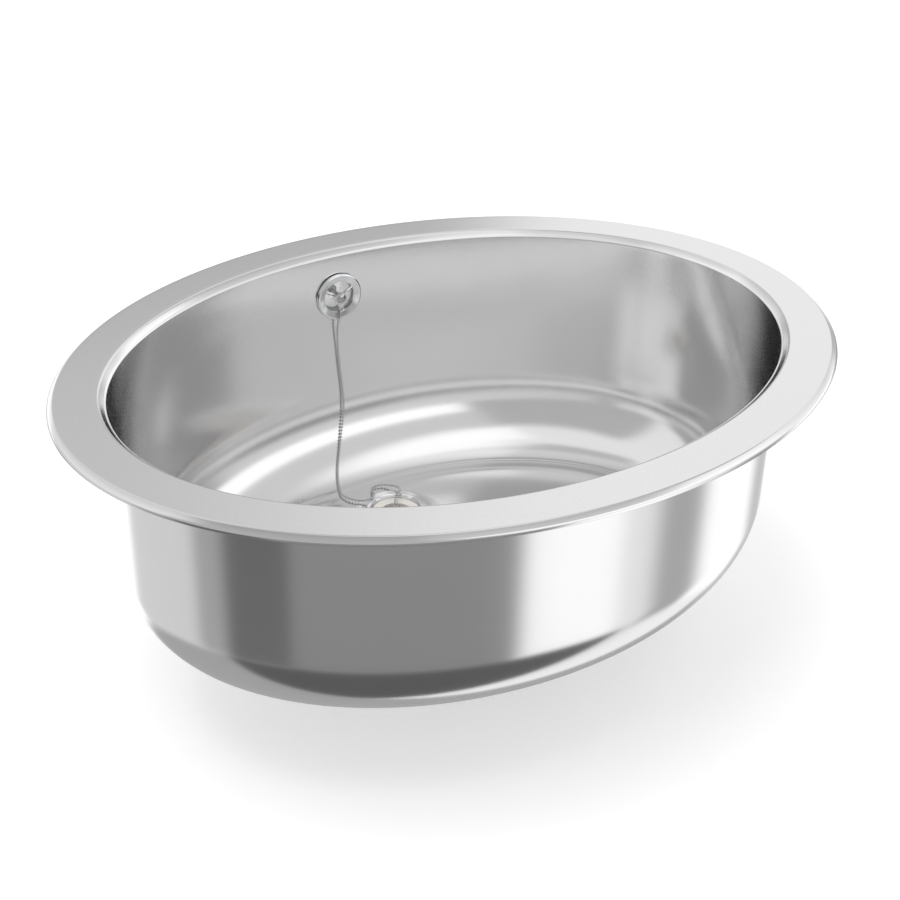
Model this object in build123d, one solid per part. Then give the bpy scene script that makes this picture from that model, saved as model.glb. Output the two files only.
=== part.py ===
from build123d import *
import math
import os

os.makedirs("parts", exist_ok=True)

# Oval inset washbasin, in millimetres. The origin is the centre of the oval on
# the worktop plane: X runs along the basin, +Y points to the rear, +Z is up.

# Basin, pressed from one sheet
sheet = 0.8
overall_length = 530.0
overall_width = 412.0
rim_height = 4.0
skirt_reach = 4.0
rim_edge_radius = 1.5
rim_band = 27.0
lip_run = 3.4
lip_fall = 3.4
lip_radius = 2.5
lip_foot_radius = 1.0
ledge_run = 1.4
ledge_fall = 0.2
wall_top_radius = 1.2
wall_draft = 0.9
wall_depth = 111.0
knuckle_radius = 58.7
knuckle_turn = 73.1
shelf_radius = 20.0
shelf_turn = 10.0
step_radius = 10.0
step_turn = 10.0
floor_radius = 35.0
floor_turn = 13.5
floor_fall = 0.9
dish_gap = 5.2
dish_run = 3.5
seat_gap = 1.8
seat_depth = 1.3

# Strip of soft seal under the rim
seal_inset = 1.0
seal_width = 8.0

# Overflow in the rear wall
overflow_depth = 32.0
overflow_hole_radius = 15.0
ring_radius = 18.0
ring_bevel = 1.6
ring_opening_radius = 12.2
ring_stand_off = 2.4
ring_lip = 0.8
ring_gap = 0.1
spoke_width = 2.2
spoke_thickness = 1.4
spoke_count = 3
boss_radius = 3.4
boss_height = 1.5
stay_thickness = 0.9
stay_head_radius = 4.6
stay_reach = 8.2
stay_lean = 3.0
stay_neck_drop = 6.8
stay_neck_radius = 1.4
stay_eye_radius = 0.8
stay_eye_wall = 0.9
screw_head_radius = 3.6
screw_head_height = 1.6
slot_width = 0.8
slot_depth = 0.6
overflow_screw_radius = 2.0
thread_gap = 0.05
overflow_gasket_thickness = 3.0
gasket_gap = 0.05
elbow_flange_radius = 19.5
elbow_flange_thickness = 2.5
elbow_wall = 2.0
elbow_depth = 19.0
elbow_neck_gap = 0.6
elbow_boss_wall = 1.0
elbow_boss_end = 2.0
insert_wall = 1.2
insert_length = 8.0
screw_past_insert = 0.5
outlet_neck = 6.5

# Overflow hose and its collars
spigot_radius = 9.0
spigot_wall = 2.0
spigot_length = 14.0
spigot_shoulder = 1.6
hose_gap = 0.1
hose_wall = 1.1
rib_height = 1.2
rib_pitch = 5.0
rib_rise = 0.2
rib_crest = 0.3
rib_fall = 0.2
hose_cuff = 22.0
hose_bend = 46.0
collar_length = 12.0
collar_wall = 2.4
collar_setback = 1.0
collar_gap = 0.1
collar_grips = 10
grip_radius = 1.2

# Waste in the floor
flange_radius = 22.2
flange_lip = 1.0
flange_crest = 1.8
flange_bevel = 0.4
flange_roll = 1.1
flange_groove_width = 1.4
flange_groove_depth = 0.4
flange_ledge = 3.0
flange_mouth_wall = 0.3
flange_throat_wall = 1.6
flange_seat_depth = 3.0
flange_tube_length = 14.0
grate_thickness = 1.6
grate_hub_rim = 0.6
grate_arm_width = 3.0
grate_arms = 4
grate_first_arm = 45.0
hole_gap = 0.4
flange_seal_thickness = 0.8
waste_seal_thickness = 4.0
body_flange_reach = 4.5
body_flange_thickness = 4.0
body_wall = 4.1
body_bore_gap = 1.2
tail_radius = 20.955
tail_bore = 17.0
tail_length = 26.0
body_hub_wall = 1.6
body_hub_length = 12.0
body_arm_width = 3.0
arm_drop = 2.4
barrel_floor = 2.4
inlet_below_flange = 17.0
inlet_reach = 12.0
waste_insert_wall = 1.4
waste_insert_length = 10.0
waste_screw_radius = 3.0
waste_screw_head_reach = 1.4
waste_screw_head_height = 2.4
waste_screw_short = 1.0

# Plug and its eye
plug_gap = 0.35
plug_height = 5.6
plug_hollow_radius = 11.2
plug_rim_radius = 1.0
stopper_gap = 0.5
stopper_thickness = 2.0
eye_ring_radius = 2.2
eye_wire_radius = 0.55
eye_height = 1.8
eye_post_radius = 1.3
eye_washer_radius = 4.0
eye_washer_thickness = 0.6
eye_collar_radius = 2.8

# Ball chain, drawn as its plain round envelope, and the cups at its ends
chain_diameter = 2.1
cup_radius = 1.3
cup_length = 3.5
cup_ring_radius = 1.65
cup_wire_radius = 0.35
link_gap = 0.3
fold_share = 0.45
chain_straight = 6.8
foot_straight = 5.6

# Values that follow from the sizes above
half_length = overall_length / 2 - skirt_reach
half_width = overall_width / 2 - skirt_reach
rim_underside = rim_height - sheet
wall_top_inset = rim_band + lip_run + ledge_run
wall_top = rim_height - lip_fall - ledge_fall
rim_oval = Ellipse(half_length, half_width).wire()
ring_crest_radius = ring_radius - ring_bevel
stay_tip_radius = stay_eye_radius + stay_eye_wall
insert_radius = overflow_screw_radius + insert_wall
elbow_boss_radius = insert_radius + elbow_boss_wall
spigot_bore = spigot_radius - spigot_wall
hose_bore = spigot_radius + hose_gap
hose_groove_radius = hose_bore + hose_wall
hose_radius = hose_groove_radius + rib_height
flange_tube_radius = flange_radius - flange_ledge
flange_mouth_radius = flange_tube_radius - flange_mouth_wall
flange_throat_radius = flange_tube_radius - flange_throat_wall
seat_radius = flange_radius + seat_gap
dish_radius = seat_radius + dish_run
body_bore = flange_tube_radius + body_bore_gap
body_radius = body_bore + body_wall
body_flange_radius = body_radius + body_flange_reach
waste_insert_radius = waste_screw_radius + waste_insert_wall
body_hub_radius = waste_insert_radius + body_hub_wall
waste_screw_head_radius = waste_screw_radius + waste_screw_head_reach
grate_hub_radius = waste_screw_head_radius + grate_hub_rim
stopper_radius = flange_throat_radius - stopper_gap


def wall_inset(height):
    """Inset of the inner face of the wall from the rim's flat edge, at a height."""
    return wall_top_inset + (wall_top - height) * math.tan(math.radians(wall_draft))


def along(start, direction, distance):
    """The point at a distance from start along a direction."""
    return Vector(*start) + Vector(*direction).normalized() * distance


def ring_solid(points):
    """A turned ring about Z from the corners (radius, height) of its section."""
    section = make_face(Polyline(*[(r, z) for r, z in points], close=True))
    return revolve(Plane.XZ * section, Axis.Z)


def tube(outer, inner, bottom, top):
    """A straight tube about Z."""
    return ring_solid([(inner, bottom), (outer, bottom), (outer, top), (inner, top)])


def rod(radius, bottom, top):
    """A straight round rod about Z."""
    return Pos(0, 0, bottom) * extrude(Circle(radius), top - bottom)


def corner_arc(start, corner, end):
    """An arc that rounds off a corner, between a point on each of its two sides."""
    share = 1 - math.sqrt(0.5)
    middle = [c + share * (a - c + b - c) for a, c, b in zip(start, corner, end)]
    return ThreePointArc(start, tuple(middle), end).edge()


def wheel_arms(count, width, radius, bottom, top, first_angle=0.0):
    """Straight arms from the Z axis out to a radius."""
    arms = []
    for number in range(count):
        arm = Pos(radius / 2, 0, bottom) * extrude(Rectangle(radius, width), top - bottom)
        arms.append(Rot(0, 0, first_angle + number * 360 / count) * arm)
    return arms


# The sheet's good side as one line, from the skirt's edge over the rim and down
# into the bowl. Its x is minus the inset from the rim's flat edge.
rim_corners = [
    (skirt_reach, 0),
    (0, rim_height),
    (-rim_band, rim_height),
    (-rim_band - lip_run, rim_height - lip_fall),
    (-wall_top_inset, wall_top),
    (-wall_inset(-wall_depth), -wall_depth),
]
rim_line = FilletPolyline(
    *rim_corners, radius=[rim_edge_radius, lip_radius, lip_foot_radius, wall_top_radius]
)
bottom_turns = [
    (knuckle_radius, -knuckle_turn),
    (shelf_radius, -shelf_turn),
    (step_radius, step_turn),
    (floor_radius, -floor_turn),
]
bottom_lines = []
line_end = rim_line
for turn_radius, turn_angle in bottom_turns:
    line_end = JernArc(line_end @ 1, line_end % 1, turn_radius, turn_angle)
    bottom_lines.append(line_end)
floor_edge = line_end @ 1

# Place and heights of the waste, worked from the floor's rear edge and its height
waste_behind_centre = half_width + floor_edge.X - dish_gap - dish_radius
dish_top = floor_edge.Y - floor_fall
seat_top = dish_top - seat_depth
seat_underside = seat_top - sheet
flange_underside = seat_top + flange_seal_thickness
waste_hole_radius = flange_tube_radius + hole_gap
waste_axis = Pos(0, waste_behind_centre, 0)
body_top = seat_underside - waste_seal_thickness
barrel_top = body_top - body_flange_thickness
inlet_height = barrel_top - inlet_below_flange
barrel_bottom = inlet_height - spigot_radius - spigot_shoulder - barrel_floor
tail_bottom = barrel_bottom - tail_length
grate_top = flange_underside - flange_tube_length + grate_thickness
hub_top = flange_underside - flange_tube_length - hole_gap
hub_bottom = hub_top - body_hub_length
plug_top = flange_underside
plug_bottom = plug_top - plug_height
stopper_bottom = plug_bottom - stopper_thickness

# Distances of the overflow's faces from the bowl's centre, along +Y
wall_face = half_width - wall_inset(-overflow_depth)
wall_back = wall_face + sheet
oval_bend = half_length**2 / half_width - wall_inset(-overflow_depth)
wall_sag = ring_radius**2 / (2 * oval_bend) + ring_radius * math.tan(math.radians(wall_draft))
ring_back = wall_face - wall_sag - ring_gap
ring_front = ring_back - ring_stand_off
spoke_back = ring_back - ring_lip
boss_front = spoke_back - spoke_thickness - boss_height
stay_front = boss_front - stay_thickness
screw_front = stay_front - screw_head_height
elbow_front = wall_back + overflow_gasket_thickness
elbow_back = elbow_front + elbow_depth
hose_line = (elbow_front + elbow_flange_thickness + elbow_back) / 2
elbow_radius = ring_opening_radius + elbow_wall
elbow_boss_front = elbow_back - elbow_wall - elbow_boss_end - insert_length
screw_tip = elbow_boss_front + insert_length + screw_past_insert
spigot_top = -overflow_depth - elbow_radius - outlet_neck
hose_top = spigot_top - spigot_length
inlet_shoulder = waste_behind_centre + body_radius + inlet_reach
inlet_tip = inlet_shoulder + spigot_length


def facing_rear(shape):
    """Turn a piece built about Z so that its +Z points to +Y, at the overflow."""
    return Pos(0, 0, -overflow_depth) * Rot(-90, 0, 0) * shape


def facing_out(shape):
    """Turn a piece built about Z so that its +Z points to +Y, at the waste inlet."""
    return Pos(0, 0, inlet_height) * Rot(-90, 0, 0) * shape


def basin_shell():
    """Rim, wall, curved bottom, sloping floor and dished seat, from one sheet."""
    good_side = Wire(rim_line.edges() + [line.edge() for line in bottom_lines])
    section = make_face(good_side.offset_2d(sheet, side=Side.LEFT).edges())
    bowl = sweep(Plane.XZ * Pos(half_length, 0) * section, path=rim_oval)
    ends = bowl.edges().filter_by(lambda edge: edge.is_closed).sort_by(SortBy.LENGTH)[:2]
    edge_under, edge_over = ends.sort_by(Axis.Z)
    circle_over = (waste_axis * Pos(0, 0, dish_top) * Circle(dish_radius)).edge()
    circle_under = (waste_axis * Pos(0, 0, dish_top - sheet) * Circle(dish_radius)).edge()
    floor = Solid(
        Shell(
            [
                Face.make_surface_from_curves(edge_over, circle_over),
                Face.make_surface_from_curves(edge_under, circle_under),
                Face.make_surface_from_curves(edge_over, edge_under),
                Face.make_surface_from_curves(circle_over, circle_under),
            ]
        )
    )
    dish = ring_solid(
        [
            (dish_radius, dish_top),
            (seat_radius, seat_top),
            (waste_hole_radius, seat_top),
            (waste_hole_radius, seat_underside),
            (seat_radius, seat_underside),
            (dish_radius, dish_top - sheet),
        ]
    )
    hole = facing_rear(rod(overflow_hole_radius, ring_back, elbow_front))
    return bowl + floor + waste_axis * dish - hole


def rim_seal():
    """Soft strip that lies between the rim and the worktop, all round."""
    inner_edge = seal_inset + seal_width
    strip = Ellipse(half_length - seal_inset, half_width - seal_inset)
    strip -= Ellipse(half_length - inner_edge, half_width - inner_edge)
    return extrude(strip, rim_underside)


def overflow_rosette():
    """Chromed ring with a rounded outer edge, three spokes and a boss."""
    shoulder = (ring_radius, ring_front + ring_bevel / 2)
    crest = (ring_crest_radius, ring_front)
    sides = Polyline(
        crest,
        (ring_opening_radius, ring_front + ring_lip),
        (ring_opening_radius, ring_back),
        (ring_radius, ring_back),
        shoulder,
    )
    bevel = corner_arc(shoulder, (ring_radius, ring_front), crest)
    ring = revolve(Plane.XZ * make_face(sides.edges() + [bevel]), Axis.Z)
    spoke_front = spoke_back - spoke_thickness
    # One spoke points straight down, behind the stay
    spokes = wheel_arms(
        spoke_count, spoke_width, ring_opening_radius + ring_lip, spoke_front, spoke_back, 90
    )
    boss = rod(boss_radius, boss_front, spoke_back)
    rosette = ring + spokes + boss - rod(overflow_screw_radius + hole_gap, boss_front, spoke_back)
    return facing_rear(rosette)


# Turns the stay's tongue forward about the lower edge of its head
stay_bend = (
    Pos(0, 0, stay_front)
    * Pos(0, stay_head_radius, stay_thickness)
    * Rot(-stay_lean, 0, 0)
    * Pos(0, -stay_head_radius, -stay_thickness)
)


def chain_stay():
    """Teardrop plate under the screw. Its tongue leans forward and ends in the eye
    that the chain hangs from."""
    neck = Pos(0, stay_neck_drop) * Circle(stay_neck_radius)
    outline = make_hull((Circle(stay_head_radius) + neck).edges())
    outline += Pos(0, stay_reach) * Circle(stay_tip_radius)
    below_head = Pos(0, 2 * stay_head_radius + stay_reach / 2) * Rectangle(
        2 * stay_head_radius, 2 * stay_head_radius + stay_reach
    )
    tongue = extrude(outline & below_head, stay_thickness)
    tongue -= Pos(0, stay_reach, 0) * rod(stay_eye_radius, 0, stay_thickness)
    flat = extrude(outline - below_head, stay_thickness)
    flat -= rod(overflow_screw_radius + hole_gap, 0, stay_thickness)
    return facing_rear(Pos(0, 0, stay_front) * flat + stay_bend * tongue)


def overflow_screw():
    """Domed screw that clamps stay, rosette, wall, gasket and elbow together."""
    dome_radius = (screw_head_radius**2 + screw_head_height**2) / (2 * screw_head_height)
    head = Pos(0, 0, screw_front + dome_radius) * Sphere(dome_radius)
    head &= rod(screw_head_radius, screw_front, stay_front)
    slot = Pos(0, 0, screw_front) * Box(2 * screw_head_radius, slot_width, 2 * slot_depth)
    shank = rod(overflow_screw_radius, stay_front, screw_tip)
    return facing_rear(head - slot + shank)


def overflow_gasket():
    """Rubber ring between the wall and the elbow, hollowed to the wall's curve."""
    wall_curve = oval_bend + sheet + gasket_gap
    gasket_span = 2 * elbow_flange_radius
    ring = facing_rear(tube(elbow_flange_radius, overflow_hole_radius, ring_back, elbow_front))
    wall = Pos(0, -oval_bend, 0) * Cylinder(wall_curve, 2 * gasket_span)
    return ring - Pos(0, wall_face, -overflow_depth) * Rot(-wall_draft, 0, 0) * wall


def overflow_elbow():
    """Moulded elbow behind the wall, with a neck through it and a spigot down."""
    neck_radius = overflow_hole_radius - elbow_neck_gap
    cup = tube(neck_radius, ring_opening_radius, ring_back + ring_gap, elbow_front)
    flange_back = elbow_front + elbow_flange_thickness
    cup += tube(elbow_flange_radius, ring_opening_radius, elbow_front, flange_back)
    cup += tube(elbow_radius, ring_opening_radius, elbow_front, elbow_back)
    cup += rod(elbow_radius, elbow_back - elbow_wall, elbow_back)
    cup += rod(elbow_boss_radius, elbow_boss_front, elbow_back)
    body = facing_rear(cup)
    outlet = Pos(0, hose_line, 0)
    outlet_root = -overflow_depth - ring_opening_radius
    body += outlet * rod(spigot_radius, hose_top, outlet_root)
    body += outlet * rod(spigot_radius + spigot_shoulder, spigot_top, outlet_root)
    body -= outlet * rod(spigot_bore, hose_top, -overflow_depth - elbow_boss_radius - elbow_wall / 2)
    body -= facing_rear(rod(insert_radius, elbow_boss_front, elbow_boss_front + insert_length))
    body -= facing_rear(rod(overflow_screw_radius + hole_gap, elbow_boss_front, screw_tip))
    return body


def overflow_insert():
    """Brass nut moulded in the elbow's boss, with knurled outside."""
    nut = tube(
        insert_radius,
        overflow_screw_radius + thread_gap,
        elbow_boss_front,
        elbow_boss_front + insert_length,
    )
    return facing_rear(nut)


def hose_path():
    """Centre line of the hose: down behind the wall, then forward under the floor."""
    return FilletPolyline(
        (0, hose_line, spigot_top),
        (0, hose_line, inlet_height),
        (0, inlet_shoulder, inlet_height),
        radius=hose_bend,
    )


def overflow_hose():
    """Ribbed hose with plain cuffs. Each rib rises, runs level and falls in set
    shares of the pitch, lofted through rings along the hose's line."""
    path = hose_path()
    length = path.length
    rib_zone = length - 2 * hose_cuff
    ribs = round(rib_zone / rib_pitch)
    step = rib_zone / ribs
    stations = [(0, hose_groove_radius), (hose_cuff, hose_groove_radius)]
    for rib in range(ribs):
        start = hose_cuff + rib * step
        stations.append((start + rib_rise * step, hose_radius))
        stations.append((start + (rib_rise + rib_crest) * step, hose_radius))
        stations.append((start + (rib_rise + rib_crest + rib_fall) * step, hose_groove_radius))
        stations.append((start + step, hose_groove_radius))
    stations.append((length, hose_groove_radius))

    def ring_at(distance, radius):
        """A circle square to the hose's line, with its X axis kept steady."""
        share = distance / length
        frame = Plane(origin=path @ share, x_dir=(1, 0, 0), z_dir=path % share)
        return Wire([(frame * Circle(radius)).edge()])

    outside = Solid.make_loft([ring_at(*station) for station in stations], ruled=True)
    start_frame = Plane(origin=path @ 0, x_dir=(1, 0, 0), z_dir=path % 0)
    bore = sweep(start_frame * Circle(hose_bore), path=path)
    return outside - bore


def hose_collar():
    """Turned collar with finger grips that squeezes a hose cuff onto its spigot."""
    inner = hose_groove_radius + collar_gap
    outer = inner + collar_wall
    collar = tube(outer, inner, 0, collar_length)
    for number in range(collar_grips):
        grip = Pos(outer, 0, 0) * rod(grip_radius, 0, collar_length)
        collar += Rot(0, 0, number * 360 / collar_grips) * (grip - rod(inner, 0, collar_length))
    return collar


def upper_hose_collar():
    """The collar at the elbow."""
    return Pos(0, hose_line, spigot_top - collar_setback - collar_length) * hose_collar()


def lower_hose_collar():
    """The collar at the waste body."""
    return facing_out(Pos(0, 0, inlet_shoulder + collar_setback) * hose_collar())


def waste_flange():
    """Polished ring with a rolled lip, a coned seat for the plug and a grate."""
    lip_top = flange_underside + flange_lip
    crest = flange_underside + flange_crest
    tube_bottom = flange_underside - flange_tube_length
    shoulder = (flange_radius, lip_top)
    roll_top = (flange_radius - flange_roll, crest)
    groove = (flange_radius - flange_roll - flange_groove_width / 2, crest - flange_groove_depth)
    groove_end = (flange_radius - flange_roll - flange_groove_width, crest)
    sides = Polyline(
        groove_end,
        (flange_mouth_radius, lip_top),
        (flange_mouth_radius, flange_underside),
        (flange_throat_radius, flange_underside - flange_seat_depth),
        (flange_throat_radius, tube_bottom),
        (flange_tube_radius, tube_bottom),
        (flange_tube_radius, flange_underside),
        (flange_radius - flange_bevel, flange_underside),
        (flange_radius, flange_underside + flange_bevel),
        shoulder,
    )
    roll = corner_arc(shoulder, (flange_radius, crest), roll_top)
    dip = ThreePointArc(roll_top, groove, groove_end).edge()
    section = make_face(sides.edges() + [roll, dip])
    flange = revolve(Plane.XZ * section, Axis.Z)
    arms = wheel_arms(
        grate_arms,
        grate_arm_width,
        (flange_throat_radius + flange_tube_radius) / 2,
        tube_bottom,
        grate_top,
        grate_first_arm,
    )
    hub = rod(grate_hub_radius, tube_bottom, grate_top)
    flange = flange + arms + hub
    flange -= rod(waste_screw_radius + hole_gap, tube_bottom, grate_top)
    return waste_axis * flange


def flange_seal():
    """Thin ring between the flange's lip and the dished seat."""
    ring = tube(flange_radius, waste_hole_radius, seat_top, flange_underside)
    return waste_axis * ring


def waste_seal():
    """Thick rubber ring between the underside of the floor and the waste body."""
    ring = tube(seat_radius, waste_hole_radius, body_top, seat_underside)
    return waste_axis * ring


def waste_body():
    """Moulded body: flange, barrel with the overflow inlet, hub and threaded tail."""
    shell = tube(body_flange_radius, body_bore, barrel_top, body_top)
    shell += tube(body_radius, body_bore, barrel_bottom, barrel_top)
    shell += tube(tail_radius, tail_bore, tail_bottom, barrel_bottom)
    shell += tube(body_radius, tail_bore, barrel_bottom, barrel_bottom + barrel_floor)
    arms = wheel_arms(
        grate_arms,
        body_arm_width,
        body_bore + body_wall / 2,
        hub_bottom,
        hub_top - arm_drop,
        grate_first_arm,
    )
    body = waste_axis * (shell + arms + rod(body_hub_radius, hub_bottom, hub_top))
    inlet_root = waste_behind_centre + body_bore + body_wall / 2
    spigot = rod(spigot_radius, inlet_root, inlet_tip)
    shoulder = rod(spigot_radius + spigot_shoulder, inlet_root, inlet_shoulder)
    body += facing_out(spigot + shoulder)
    body -= facing_out(rod(spigot_bore, waste_behind_centre + body_bore - body_wall, inlet_tip))
    body -= waste_axis * rod(waste_insert_radius, hub_top - waste_insert_length, hub_top)
    return body - waste_axis * rod(waste_screw_radius + hole_gap, hub_bottom, hub_top)


def waste_insert():
    """Brass nut moulded in the hub of the waste body."""
    nut = tube(
        waste_insert_radius, waste_screw_radius + thread_gap, hub_top - waste_insert_length, hub_top
    )
    return waste_axis * nut


def waste_screw():
    """Cheese-head screw through the grate's hub into the brass nut."""
    head_top = grate_top + waste_screw_head_height
    head = rod(waste_screw_head_radius, grate_top, head_top)
    slot = Pos(0, 0, head_top) * Box(2 * waste_screw_head_radius, slot_width, 2 * slot_depth)
    shank = rod(waste_screw_radius, hub_bottom + waste_screw_short, grate_top)
    return waste_axis * (head - slot + shank)


def plug():
    """Cream moulded ring of the plug, coned to the flange's seat."""
    top_radius = flange_mouth_radius - plug_gap
    cone_radius = flange_throat_radius - plug_gap
    cone_bottom = plug_top - flange_seat_depth
    body = ring_solid(
        [
            (plug_hollow_radius, plug_bottom),
            (cone_radius, plug_bottom),
            (cone_radius, cone_bottom),
            (top_radius, plug_top),
            (plug_hollow_radius + plug_rim_radius, plug_top),
            (plug_hollow_radius, plug_top - 2 * plug_rim_radius),
        ]
    )
    return waste_axis * body


def plug_stopper():
    """Dark rubber disc under the ring; its middle fills the hollow of the ring."""
    disc = rod(stopper_radius, stopper_bottom, plug_bottom)
    disc -= rod(eye_post_radius, stopper_bottom, plug_bottom)
    return waste_axis * disc


eye_centre = Vector(0, waste_behind_centre, plug_top + eye_height)
# The way the chain leaves the plug's eye, and its flat part
pull = Vector(0.42, 0.86, 0.29).normalized()
pull_flat = Vector(pull.X, pull.Y, 0).normalized()


def plug_eye():
    """Steel eye on a riveted post, with the washer that holds it in the rubber."""
    ring_plane = Plane(origin=eye_centre, x_dir=pull_flat, z_dir=pull_flat.cross(Vector(0, 0, 1)))
    ring = ring_plane * Torus(eye_ring_radius, eye_wire_radius)
    ring_bottom = plug_top + eye_height - eye_ring_radius
    washer_bottom = stopper_bottom - eye_washer_thickness
    post = rod(eye_post_radius, washer_bottom, ring_bottom)
    collar = rod(eye_collar_radius, plug_bottom, plug_bottom + eye_washer_thickness)
    washer = rod(eye_washer_radius, washer_bottom, stopper_bottom)
    return ring + waste_axis * (post + collar + washer)


def chain_end(eye_wire_centre, eye_wire, direction, side):
    """Cup and ring that grip the last ball. The ring goes round a wire or plate
    edge at eye_wire_centre, of radius eye_wire, and the cup lies in direction."""
    ring_centre = along(
        eye_wire_centre, direction, cup_ring_radius - cup_wire_radius - eye_wire - link_gap
    )
    ring_plane = Plane(origin=ring_centre, x_dir=direction, z_dir=direction.cross(side))
    ring = ring_plane * Torus(cup_ring_radius, cup_wire_radius)
    cup_start = along(ring_centre, direction, cup_ring_radius)
    cup_plane = Plane(origin=cup_start, z_dir=direction)
    cup = cup_plane * extrude(Circle(cup_radius), cup_length)
    return ring + cup


def cup_face(eye_wire_centre, eye_wire, direction):
    """The point in the middle of the cup's open face, where the chain goes in."""
    reach = 2 * cup_ring_radius - cup_wire_radius - eye_wire - link_gap + cup_length
    return along(eye_wire_centre, direction, reach)


# The way the chain hangs from the stay, clear of the ring's face
hang = Vector(-0.25, 0.08, -1).normalized()
stay_edge_half = (stay_tip_radius - stay_eye_radius) / 2
stay_edge_drop = stay_reach + stay_eye_radius + stay_edge_half
stay_edge = facing_rear(stay_bend * Pos(0, stay_edge_drop, stay_thickness / 2)).position
eye_far_wire = along(eye_centre, pull, eye_ring_radius)
chain_top = cup_face(stay_edge, stay_edge_half, hang)
chain_foot = cup_face(eye_far_wire, eye_wire_radius, pull)


def upper_chain_end():
    """The end cup that hangs in the eye of the stay."""
    return chain_end(stay_edge, stay_edge_half, hang, Vector(0, 1, 0))


def lower_chain_end():
    """The end cup that is linked to the eye of the plug."""
    return chain_end(eye_far_wire, eye_wire_radius, pull, pull_flat.cross(Vector(0, 0, 1)))


# Route of the chain: down from the stay, over the curved bottom and the floor,
# round behind the waste, and over the flange to the plug's eye
chain_route = [
    tuple(chain_top),
    tuple(chain_top + hang * chain_straight),
    (-2.7, 166.5, -64.5),
    (-1.9, 167.0, -77.0),
    (-1.1, 166.8, -90.0),
    (0.6, 166.5, -104.0),
    (1.7, 166.0, -117.0),
    (-0.4, 163.0, -130.0),
    (-5.6, 157.0, -142.4),
    (-10.4, 150.2, -150.2),
    (-15.6, 142.8, -156.2),
    (-20.8, 133.6, -161.2),
    (-25.2, 123.6, -164.9),
    (-28.0, 113.0, -166.7),
    (-25.2, 104.9, -167.5),
    (-18.6, 100.6, -167.8),
    (-12.0, 101.4, -167.7),
    (-8.2, 105.8, -167.6),
    (-6.6, 111.0, -167.4),
    (-1.4, 114.4, -167.1),
    (5.2, 113.2, -167.2),
    (10.2, 108.6, -167.2),
    (11.4, 102.8, -164.8),
    (9.0, 97.4, -163.2),
    tuple(chain_foot + pull * foot_straight),
    tuple(chain_foot),
]


def bend_radii(route):
    """For each corner, the radius whose arc takes a set share of the shorter run."""
    radii = []
    for before, corner, after in zip(route, route[1:], route[2:]):
        run_in = Vector(*corner) - Vector(*before)
        run_out = Vector(*after) - Vector(*corner)
        half_turn = math.radians(run_in.get_angle(run_out) / 2)
        radii.append(fold_share * min(run_in.length, run_out.length) / math.tan(half_turn))
    return radii


def chain():
    """The chain's round envelope, swept along its route."""
    radii = bend_radii(chain_route)
    path = FilletPolyline(*chain_route, radius=radii)
    section = Plane(origin=path @ 0, z_dir=path % 0) * Circle(chain_diameter / 2)
    solid = sweep(section, path=path)
    filled = solid.volume / (section.area * path.length)
    print("chain radii", [round(radius, 1) for radius in radii])
    print("chain length", round(path.length, 1), "volume over section times length", round(filled, 4))
    return solid


pieces = [
    basin_shell,
    rim_seal,
    overflow_rosette,
    chain_stay,
    overflow_screw,
    overflow_gasket,
    overflow_elbow,
    overflow_insert,
    upper_hose_collar,
    overflow_hose,
    lower_hose_collar,
    waste_flange,
    flange_seal,
    waste_seal,
    waste_body,
    waste_insert,
    waste_screw,
    plug,
    plug_stopper,
    plug_eye,
    upper_chain_end,
    chain,
    lower_chain_end,
]
for piece in pieces:
    export_step(piece(), f"parts/{piece.__name__}.step")
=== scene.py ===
import math

import bmesh
import bpy
import numpy as np
from mathutils import Matrix, Vector


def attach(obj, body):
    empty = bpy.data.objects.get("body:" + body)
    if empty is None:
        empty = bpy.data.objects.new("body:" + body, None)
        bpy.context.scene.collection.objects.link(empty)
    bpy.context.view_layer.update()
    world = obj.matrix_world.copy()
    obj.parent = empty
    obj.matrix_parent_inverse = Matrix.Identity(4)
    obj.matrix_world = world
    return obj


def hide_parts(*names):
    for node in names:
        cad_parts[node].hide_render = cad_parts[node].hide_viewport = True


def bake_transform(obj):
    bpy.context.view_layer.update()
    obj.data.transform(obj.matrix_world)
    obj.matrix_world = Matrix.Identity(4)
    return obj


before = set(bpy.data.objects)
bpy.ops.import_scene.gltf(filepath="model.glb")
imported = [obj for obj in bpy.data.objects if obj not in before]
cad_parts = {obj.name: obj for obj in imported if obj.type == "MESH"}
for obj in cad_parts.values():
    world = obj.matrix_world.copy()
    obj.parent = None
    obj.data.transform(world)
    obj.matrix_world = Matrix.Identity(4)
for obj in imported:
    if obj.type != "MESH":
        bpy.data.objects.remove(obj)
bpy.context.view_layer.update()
mm = 0.001

# Camera
# A long lens above and to the left of the basin's front, shifted down and to the
# side, as the photograph's perspective shows.
azimuth = math.radians(-29.63)
elevation = math.radians(25.97)
roll = math.radians(0.42)
distance = 1035.94 * mm
target = Vector((-4.17, 57.97, 4.0)) * mm
focal_length = 61.5
lens_shift = (0.0472, -0.1543)

back = Vector(
    (
        math.sin(azimuth) * math.cos(elevation),
        -math.cos(azimuth) * math.cos(elevation),
        math.sin(elevation),
    )
)
level_right = Vector((math.cos(azimuth), math.sin(azimuth), 0))
level_up = back.cross(level_right)
right = level_right * math.cos(roll) + level_up * math.sin(roll)
up = level_up * math.cos(roll) - level_right * math.sin(roll)
camera_data = bpy.data.cameras.new("camera")
camera_data.lens = focal_length
camera_data.shift_x, camera_data.shift_y = lens_shift
camera_data.clip_start = 0.05
camera = bpy.data.objects.new("camera", camera_data)
camera.matrix_world = Matrix.Translation(target + back * distance) @ Matrix(
    (right, up, back)
).transposed().to_4x4()
bpy.context.scene.collection.objects.link(camera)
bpy.context.scene.camera = camera

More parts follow.
